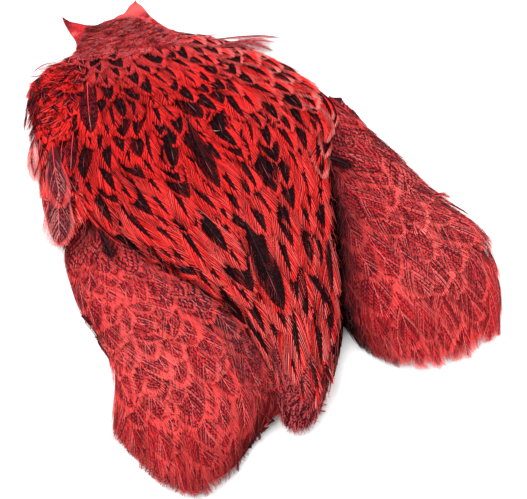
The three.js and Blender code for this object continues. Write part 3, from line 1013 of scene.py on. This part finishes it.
def feather_materials(colours, vane, quill):
    """The materials of a piece: vane, quill and loose barb."""
    quills = {
        "dark_quill": {"pale": QUILL_DARK, "dark": colours.black, "pale_to": 0.81},
        "pale_quill": {"pale": colours.quill, "dark": colours.side_red, "pale_to": 0.89},
    }
    make, looks = VANES[vane]
    return [
        shared(vane, make, colours, **looks),
        shared(quill, quill_material, **quills[quill]),
        shared("loose_barb", loose_barb_material, colours),
    ]


# Pieces


def edge_curve(points, p):
    """A smooth curve of the skin's outline, in metres."""
    return curve_points((np.array(points, float) + np.array(CENTRING)) * MM, p)


def skin_surface(p, q):
    """The skin between its four edges, as a Coons patch: p from left to right, q from the head end
    to the tail end."""
    head, tail = edge_curve(SKIN_HEAD, p), edge_curve(SKIN_TAIL, p)
    left, right = edge_curve(SKIN_LEFT, q), edge_curve(SKIN_RIGHT, q)
    p, q = p[..., None], q[..., None]
    first, last = np.zeros(1), np.ones(1)
    corners = (1 - q) * ((1 - p) * edge_curve(SKIN_HEAD, first) + p * edge_curve(SKIN_HEAD, last))
    corners = corners + q * ((1 - p) * edge_curve(SKIN_TAIL, first) + p * edge_curve(SKIN_TAIL, last))
    return (1 - q) * head + q * tail + (1 - p) * left + p * right - corners


class HENCAPE_OT_skin(bpy.types.Operator):
    """Make the dried skin with its two pointed corners"""

    bl_idname = "hencape.skin"
    bl_label = "Skin"

    def execute(self, context):
        """A sheet whose rows lie closer at the head end. Its top has a fine grain and a sine ripple
        that fades away from the head end, and the corners rise by a fading power of e."""
        colours = context.scene.hen_cape.colours
        rows, columns = np.linspace(0, 1, SKIN_ROWS) ** SKIN_ROW_POWER, np.linspace(0, 1, SKIN_COLUMNS)
        q, p = np.meshgrid(rows, columns, indexing="ij")
        flat = skin_surface(p, q)
        grain = np.random.default_rng(11).normal(0, SKIN_GRAIN, p.shape)
        along, across = (flat[..., k] * waves for k, waves in enumerate(SKIN_RIPPLE_WAVES))
        ripple = SKIN_RIPPLE * np.sin(along + 2 * np.sin(across)) * np.exp(-q * SKIN_RIPPLE_FADE)
        fade = SKIN_CORNER_FADE["across"]
        corner = np.exp(-q * SKIN_CORNER_FADE["along"]) * (np.exp(-p * fade) + np.exp(-(1 - p) * fade))
        above = SKIN_TOP + grain + ripple + SKIN_CORNER_LIFT["top"] * corner
        below = SKIN_UNDERSIDE + SKIN_CORNER_LIFT["underside"] * corner
        top, under = (
            np.concatenate([flat, height[..., None] * MM], axis=-1) for height in (above, below)
        )
        material = shared("leathery_skin", skin_material, colours)
        dress(add_piece("dried_neck_skin", *closed_sheet(top, under), [material]), "skin")
        return {"FINISHED"}


# The forms of feathers. Shares of the length: first and last barb, end of the quill and widest
# place. Reach is the share of the way to the tip that a barb covers, slat its width as a share of
# the way to the next, and bend, belly, ragged and taper are shares of the barb. Tilt is a slope and
# blunt a power. Millimetres: lock size, fray, quill and the step from one fine line to the next.
LACED_FORM = {
    "first_barb": 0.10, "last_barb": 0.94, "last_quill": 0.93, "reach": 0.70, "widest": 0.54,
    "blunt": 1.45, "bend": 0.38, "belly": 0.60, "ragged": 0.03, "lock_size": 0.06, "fray": 0.08,
    "slat": 0.95, "taper": 0.6, "tilt": 0.35, "barb_steps": 3, "quill": 0.12, "quill_steps": 9,
    "line": 2.7, "line_depth": 0.6,
}
SIDE_FORM = {
    **LACED_FORM, "reach": 0.72, "widest": 0.60, "blunt": 1.8, "quill": 0.16, "ragged": 0.045,
    "lock_size": 0.08, "fray": 0.12, "taper": 0.65, "barb_steps": 4, "line": 2.3, "line_depth": 0.28,
}
SKIRT_FORM = {
    **SIDE_FORM, "barb_steps": 3, "ragged": 0.055, "lock_size": 0.10, "widest": 0.58, "reach": 0.74,
    "line": 1.6, "line_depth": 0.3,
}
EDGE_FORM = {**SIDE_FORM, "first_barb": 0.42}
NEAT_FORM = {**SIDE_FORM, "ragged": 0.02, "lock_size": 0.04, "fray": 0.05, "blunt": 2.1, "widest": 0.65}
SMALL_FORM = {
    **LACED_FORM, "barb_steps": 2, "quill_steps": 4, "quill": 0.08, "widest": 0.55, "ragged": 0.10,
    "line": 1.5, "line_depth": 0.3,
}
NECK_FORM = {**SMALL_FORM, "widest": 0.62, "blunt": 2.2, "ragged": 0.06}
UNDER_FORM = {**LACED_FORM, "barb_steps": 2, "quill_steps": 4, "ragged": 0.08}
UNDER_LIE = {"lift": (-1.0, 0.2), "sink": (2.0, 0.2), "yaw": (0, 12)}
UNDER_BARBS, UNDER_SCATTER = 22, 0.45

# Flow and shade at the head end, middle and tail end by left, middle and right. Shade above 0 is partly
# darker feathers and partly painted shade, as in the cleft by the right lobe and at the lobes' lower and
# inner edges; below 0 it is paler, partly as a painted sheen, as at the centre's upper right.
NECK_FLOW = [[0, 0, 0], [0, 10, 20], [0, 10, 20]]
NECK_SHADE = [[0.6, 0.6, 0.3], [0.5, 0.5, 0.3], [0.3, 0.3, 0.1]]
CENTRE_FLOW = [[0, 2, 0], [2, 4, 3], [0, 0, 0]]
CENTRE_SHADE = [[0.7, 0.25, -0.7], [0.1, -0.05, 0.1], [0, 0, 0.5]]
SHOULDER_SHADE = [[0.3, 0.35, 0.3], [0.05, 0, 0], [-0.2, 0, 0.1]]
CURL_SHADE = [[0.2] * 3, [0.0] * 3, [-0.15] * 3]
# Each side's left_edge_shade is the shade of the feathers along its left side: on the right lobe it is
# painted shade that blackens them in the cleft beside the centre, and on the left lobe they are paler
SIDES = {
    "left": {
        "flow": [[0, 10, 20], [0, 10, 15], [0, 5, 10]],
        "shade": [[0.9, 0.65, 0.5], [0.25, -0.2, 0.45], [0.45, 0.5, 0.9]],
        "left_edge_shade": -0.4, "size": 1.0, "seed": 53,
    },
    "right": {
        "flow": [[20, 26, 3], [26, 22, -3], [8, 12, 0]],
        "shade": [[0.8, 0.4, 0.1], [1.0, -0.2, 0], [0.9, 0.1, 0.3]],
        "left_edge_shade": 1.0, "size": 1.22, "seed": 61,
    },
}

# Root, middle and tip of feathers that leave the coat, in [x, y, height], with half width and shade
# Their shade below 0 gives their rims a painted pale sheen
RIGHT_EDGE_FEATHERS = [
    ([8, 75, 3.0], [23, 71.0, 3.6], [37.5, 66.5, 3.0], 1.8, -0.7),
    ([6, 74, 4.0], [21, 70.0, 4.4], [34.5, 64.5, 3.6], 2.4, -0.6),
    ([8, 72, 5.0], [21, 68.0, 5.4], [32, 60.0, 4.0], 3.2, -0.6),
]
LARGE_CENTRE_FEATHERS = [
    ([-14.6, 34, 16.2], [-14.0, 13.0, 18.8], [-12.2, -6.0, 19.8], 5.4, 0),
    ([-10.1, -17.1, 20.7], [-8.9, -39.7, 21.4], [-8.2, -60.6, 20.2], 7.0, 0),
    ([6.6, -37.3, 17.5], [7.2, -53.3, 16.5], [6.4, -68.6, 12.8], 5.5, 0),
    ([-22.5, 35.8, 14.6], [-23.2, 21.5, 16.8], [-24.8, 9.4, 17.2], 4.2, 0),
]
SHOULDER_LACED_FEATHERS = [
    ([-43, 66, 11.0], [-46.4, 51.5, 13.4], [-48.9, 38.5, 12.4], 5.6, 0.0),
    ([-53, 46, 10.5], [-57.5, 35, 12.2], [-61.2, 25.2, 11.0], 3.4, 0.2),
]
SHOULDER_PENCILLED_FEATHERS = [
    ([-63.5, 31, 8.0], [-68.5, 17, 10.4], [-72.6, -0.5, 7.5], 6.2, -0.3),
    ([-61.5, 46, 9.0], [-65.5, 29, 11.8], [-67.8, 12.5, 11.6], 5.0, 0.1),
    ([-67.0, 55, 6.5], [-71.6, 44, 6.6], [-73.6, 31.5, 5.0], 2.8, -0.6),
]
SHOULDER_RUFFLES = [
    ([-46, 78, 7], [-55, 82.6, 7.0], [-62.5, 81.5, 5], 1.3, 0.6),
    ([-55, 75, 6], [-61, 74, 8.0], [-67, 69, 5], 2.0, 0.7),
    ([-56, 70, 7], [-63, 68, 9.0], [-69, 62, 6], 2.2, 0.9),
    ([-57, 64, 7], [-64, 62, 9.5], [-70, 55, 6], 2.4, 0.5),
    ([-58, 60, 7], [-65, 56, 9.5], [-71, 49, 5], 2.4, 0.8),
]
SIDE_LOOSE_FEATHERS = {
    "left": [([-58.4, 0.0, 11.0], [-57.2, -8.0, 13.0], [-56.4, -16.0, 12.8], 2.6, 1.0)],
    "right": [
        ([31.5, 3.0, 10.0], [35.0, -3.0, 12.0], [38.0, -8.0, 12.5], 2.8, 1.0),
        ([60.8, -27.0, 8.5], [65.0, -28.6, 9.4], [68.4, -30.0, 8.4], 2.3, -0.2),
    ],
}

# The bit of husk: its form, its place and size on the centre's coat, and how it lies
HUSK_FORM = {**HAIR, "quill": 0.12}
HUSK_GRID = (0.26, 0.555, 4.2 * MM, MM)
HUSK_LIE = {"sink": (-1.6, 0), "lift": (1.6, 0), "yaw": (84, 0), "bow": (0.05, 0)}


class HENCAPE_OT_neck(bpy.types.Operator):
    """Make the tiny feathers below the bare head end"""

    bl_idname = "hencape.neck"
    bl_label = "Neck feathers"

    def execute(self, context):
        settings, colours = context.scene.hen_cape.neck, context.scene.hen_cape.colours
        node, slot = "neck_feathers", "pencilled_feather"
        coat = Coat(TRACTS[node])
        parts = row_parts(
            coat, settings, NECK_FORM, settings.barbs, seed=21, start=0.02, end=0.84,
            flow=NECK_FLOW, shade=NECK_SHADE,
            sink=(1.0, 0.1), lift=(0.7, 0.3), crown=(0.3, 0.1), yaw=(0, 17),
        )
        materials = feather_materials(colours, "pencilled_neck", "dark_quill")
        add_feathers("neck_vanes", node, parts, materials)
        add_down("neck_down", node, coat, colours, seed=23, drop=0.9, end=0.70)
        return {"FINISHED"}


class HENCAPE_OT_centre(bpy.types.Operator):
    """Make the laced feathers down the middle"""

    bl_idname = "hencape.centre"
    bl_label = "Centre feathers"

    def execute(self, context):
        settings, colours = context.scene.hen_cape.centre, context.scene.hen_cape.colours
        node, slot = "centre_feathers", "laced_feather"
        barbs = settings.barbs
        coat, lower, lowest = (Coat(TRACTS[node], level=level) for level in (1.0, 0.5, 0.4))
        parts = row_parts(
            coat, settings, LACED_FORM, barbs, seed=31, start=0.0, end=0.985,
            flow=CENTRE_FLOW, shade=CENTRE_SHADE, layout={"stagger": 0.14, "scatter": 0.24},
        )
        for layer, seed in ((coat, 34), (lower, 38)):
            parts += row_parts(
                layer, settings, SMALL_FORM, 14, seed=seed, start=0.90, end=0.985,
                layout={"scale": 0.4}, yaw=(0, 14), lift=(0.6, 0.4), sink=(1.2, 0.1),
            )
        # Feathers along the upper right side, with painted pale sheen on their rims
        parts += edge_parts(
            coat, settings, LACED_FORM, barbs, seed=131, count=15, start=0.05, end=0.42, t=0.955,
            shade=even(-0.5), yaw=(0, 4),
        )
        parts += edge_parts(
            coat, settings, LACED_FORM, barbs, seed=135, count=18, start=0.4, end=0.95, t=0.0
        )
        # Black feathers low along the right side: painted shade for the cleft beside the right lobe
        parts += edge_parts(
            lowest, settings, LACED_FORM, 24, seed=133, count=24, start=0.45, end=0.90, t=1.0,
            scale=0.7, shade=even(1),
        )
        parts += loose_parts(RIGHT_EDGE_FEATHERS, LACED_FORM, barbs, seed=36, place=0.95)
        parts += loose_parts(LARGE_CENTRE_FEATHERS, LACED_FORM, barbs, seed=177, chance=0.9)
        parts += hair_parts(coat, seed=37, count=120, lengths=(6, 12), s_range=(0.4, 1.0), edges=0.1)
        parts += hair_parts(lowest, seed=39, count=360, lengths=(3, 6), s_range=(0.93, 1.0), edges=1.0)
        materials = feather_materials(colours, "laced_vane", "dark_quill")
        add_feathers("centre_vanes", node, parts, materials)
        husk = laid(np.array(HUSK_GRID)[:, None], np.random.default_rng(1), EVEN, EVEN, HUSK_LIE)
        husk_parts = [quills_of(coat, husk, HUSK_FORM, VANE)]
        add_feathers("husk", node, husk_parts, [shared("dry_husk", husk_material)])
        under = row_parts(
            coat, settings, UNDER_FORM, UNDER_BARBS, seed=231, start=0.0, end=0.9,
            flow=CENTRE_FLOW, shade=CENTRE_SHADE, layout={"scatter": UNDER_SCATTER}, **UNDER_LIE,
        )
        add_feathers("centre_under_vanes", node, under, materials)
        add_down("centre_down", node, coat, colours, seed=33, drop=2.5, end=0.96)
        return {"FINISHED"}


class HENCAPE_OT_shoulder(bpy.types.Operator):
    """Make the ruffled feathers of the left shoulder"""

    bl_idname = "hencape.shoulder"
    bl_label = "Left shoulder feathers"

    def execute(self, context):
        settings, colours = context.scene.hen_cape.shoulder, context.scene.hen_cape.colours
        node, slot = "left_shoulder_feathers", "pencilled_feather"
        coat = Coat(TRACTS[node])
        parts = row_parts(
            coat, settings, SIDE_FORM, settings.barbs, seed=41, start=0.05, end=1.0,
            shade=SHOULDER_SHADE, yaw=(3, 13), curl=(0.4, 0.7), twist=(0, 0.6), lift=(0.7, 0.3),
        )
        parts += loose_parts(SHOULDER_LACED_FEATHERS, SIDE_FORM, settings.barbs, seed=46, chance=0.8)
        parts += loose_parts(SHOULDER_RUFFLES, SMALL_FORM, 16, seed=44)
        curls = rows_of_feathers(coat, settings, start=0.08, end=0.44, seed=47, scale=0.75)
        parts += feather_parts(
            coat, curls, SMALL_FORM, 18, seed=49, shade=CURL_SHADE,
            yaw=(-8, 34), curl=(1.0, 0.9), twist=(0, 1.0), lift=(1.0, 0.5), sink=(1.0, 0.2),
        )
        parts += hair_parts(coat, seed=45, count=90, lengths=(5, 9), s_range=(0.1, 1.0), edges=0.3)
        materials = feather_materials(colours, "laced_shoulder", "pale_quill")
        add_feathers("left_shoulder_vanes", node, parts, materials)
        parts = loose_parts(
            SHOULDER_PENCILLED_FEATHERS, NEAT_FORM, settings.barbs, seed=48,
            place=0.5, across=0.95, chance=0.9,
        )
        parts += edge_parts(
            coat, settings, SIDE_FORM, 28, seed=141, count=15, start=0.3, end=0.98, t=0.0,
            scale=0.8, shade=even(-0.1), yaw=(0, 8), lift=(0.2, 0.3),
        )
        materials = feather_materials(colours, "pencilled_side", "pale_quill")
        add_feathers("left_shoulder_long_vanes", node, parts, materials)
        add_down("left_shoulder_down", node, coat, colours, seed=43, drop=2.3, end=0.95)
        return {"FINISHED"}


class HENCAPE_OT_sides(bpy.types.Operator):
    """Make the pencilled feathers of the two side lobes"""

    bl_idname = "hencape.sides"
    bl_label = "Side feathers"

    def execute(self, context):
        settings, colours = context.scene.hen_cape.side, context.scene.hen_cape.colours
        materials = feather_materials(colours, "pencilled_side", "pale_quill")
        for side, plan in SIDES.items():
            node, slot, seed = f"{side}_side_feathers", "pencilled_feather", plan["seed"]
            field = {"flow": plan["flow"], "shade": plan["shade"]}
            coat, lower = Coat(TRACTS[node]), Coat(TRACTS[node], level=0.45)
            parts = row_parts(
                coat, settings, SIDE_FORM, settings.barbs, seed=seed, start=0.10, end=0.98,
                layout={"scale": plan["size"]}, yaw=(0, 8), **field,
            )
            # The lower skirt gets 0.2 more shade: painted shade, as under the skirt above it
            for layer, more, darker in ((coat, 3, 0.0), (lower, 7, 0.2)):
                parts += row_parts(
                    layer, settings, SKIRT_FORM, 32, seed=seed + more, start=0.94, end=1.01,
                    flow=plan["flow"], shade=np.array(plan["shade"]) + darker,
                    layout={"scale": 0.72}, lift=(0.6, 0.4), yaw=(0, 9),
                )
            parts += loose_parts(SIDE_LOOSE_FEATHERS[side], SIDE_FORM, 30, seed=seed + 75)
            # Feathers along the left side, black with painted shade in the right lobe's cleft
            parts += edge_parts(
                lower, settings, EDGE_FORM, 24, seed=seed + 70, count=28, start=0.12, end=1.0, t=0.0,
                scale=0.6, shade=even(plan["left_edge_shade"]),
            )
            parts += edge_parts(
                lower, settings, EDGE_FORM, 24, seed=seed + 72, count=22, start=0.25, end=1.0, t=1.0,
                scale=0.6,
            )
            for layer, more, count, s_range, edges in (
                (coat, 5, 160, (0.3, 1.0), 0.2), (lower, 6, 420, (0.95, 1.0), 1.0),
            ):
                parts += hair_parts(layer, seed + more, count, (5, 10), s_range, edges, **field)
            parts += row_parts(
                coat, settings, UNDER_FORM, UNDER_BARBS, seed=seed + 80, start=0.10, end=0.9,
                layout={"scatter": UNDER_SCATTER}, **field, **UNDER_LIE,
            )
            add_feathers(f"{side}_side_vanes", node, parts, materials)
            add_down(f"{side}_side_down", node, coat, colours, seed=seed + 2, drop=2.5, end=0.95)
        return {"FINISHED"}


# Stage

CAMERA_AZIMUTH, CAMERA_ELEVATION = -20.0, 60.0
CAMERA_DISTANCE = 0.45
CAMERA_AIM = (-0.0023, -0.0271, 0.007)
CAMERA_LENS, CAMERA_SENSOR = 85.0, 36.0
CAMERA_RANGE = (0.01, 20)
FLOOR_HALF, FLOOR_COLOUR = 2.0, (0.97, 0.97, 0.97)
ROOM_LIGHT = 0.66
LIGHTS = {
    "key": {"place": (-0.45, 0.30, 0.9), "size": 0.8, "watts": 13.2},
    "fill": {"place": (0.7, 0.0, 0.6), "size": 0.6, "watts": 4.8},
}


def place_facing(thing, place, way):
    """Put a camera or light in its place, facing a way, and link it to the scene."""
    thing.location = place
    thing.rotation_mode = "QUATERNION"
    thing.rotation_quaternion = way.to_track_quat("-Z", "Y")
    bpy.context.scene.collection.objects.link(thing)


def add_camera():
    """The camera at the viewing angle: distance and aim give its place."""
    azimuth, elevation = math.radians(CAMERA_AZIMUTH), math.radians(CAMERA_ELEVATION)
    level = math.cos(elevation)
    back = Vector((math.sin(azimuth) * level, -math.cos(azimuth) * level, math.sin(elevation)))
    data = bpy.data.cameras.new("camera")
    data.lens, data.sensor_width = CAMERA_LENS, CAMERA_SENSOR
    data.clip_start, data.clip_end = CAMERA_RANGE
    camera = bpy.data.objects.new("camera", data)
    place_facing(camera, Vector(CAMERA_AIM) + back * CAMERA_DISTANCE, -back)
    bpy.context.scene.camera = camera


def add_light(name, place, size, watts):
    """A soft square light that faces the middle of the cape."""
    data = bpy.data.lights.new(name, "AREA")
    data.size, data.energy = size, watts
    place_facing(bpy.data.objects.new(name, data), place, Vector((0, 0, 0)) - Vector(place))


class HENCAPE_OT_stage(bpy.types.Operator):
    """Make the pale floor, the soft lights and the camera"""

    bl_idname = "hencape.stage"
    bl_label = "Stage"

    def execute(self, context):
        scene = context.scene
        corners = np.array([[-1, -1, 0], [1, -1, 0], [1, 1, 0], [-1, 1, 0]]) * FLOOR_HALF
        material, shader, _ = new_material("pale_floor", 0.8, specular=0.1)
        shader.inputs["Base Color"].default_value = (*FLOOR_COLOUR, 1)
        add_piece("floor", corners, np.array([[0, 1, 2, 3]]), [material])
        world = bpy.data.worlds.new("studio")
        world.use_nodes = True
        world.node_tree.nodes["Background"].inputs["Color"].default_value = (1, 1, 1, 1)
        world.node_tree.nodes["Background"].inputs["Strength"].default_value = ROOM_LIGHT
        scene.world = world
        for name, light in LIGHTS.items():
            add_light(name, **light)
        add_camera()
        scene.view_settings.view_transform = "Standard"
        scene.view_settings.look = "None"
        return {"FINISHED"}


class HENCAPE_PT_panel(bpy.types.Panel):
    """Lists the cape's pieces and settings"""

    bl_idname = "HENCAPE_PT_panel"
    bl_label = "Hen cape"
    bl_space_type = "VIEW_3D"
    bl_region_type = "UI"
    bl_category = "Hen cape"

    def draw(self, context):
        for operator in OPERATORS:
            self.layout.operator(operator.bl_idname)
        for group in ("neck", "centre", "shoulder", "side", "colours"):
            box = self.layout.box()
            box.label(text=group.capitalize())
            settings = getattr(context.scene.hen_cape, group)
            for key in settings.__annotations__:
                box.prop(settings, key)


OPERATORS = (
    HENCAPE_OT_stage, HENCAPE_OT_skin, HENCAPE_OT_neck,
    HENCAPE_OT_centre, HENCAPE_OT_shoulder, HENCAPE_OT_sides,
)
CLASSES = (
    NeckFeatherSettings, CentreFeatherSettings, ShoulderFeatherSettings, SideFeatherSettings,
    ColourSettings, CapeSettings, *OPERATORS, HENCAPE_PT_panel,
)


def register():
    for item in CLASSES:
        bpy.utils.register_class(item)
    bpy.types.Scene.hen_cape = PointerProperty(type=CapeSettings)


def unregister():
    del bpy.types.Scene.hen_cape
    for item in reversed(CLASSES):
        bpy.utils.unregister_class(item)


def main():
    register()
    bpy.ops.hencape.stage()
    bpy.ops.hencape.skin()
    bpy.ops.hencape.neck()
    bpy.ops.hencape.centre()
    bpy.ops.hencape.shoulder()
    bpy.ops.hencape.sides()


if __name__ == "__main__":
    main()
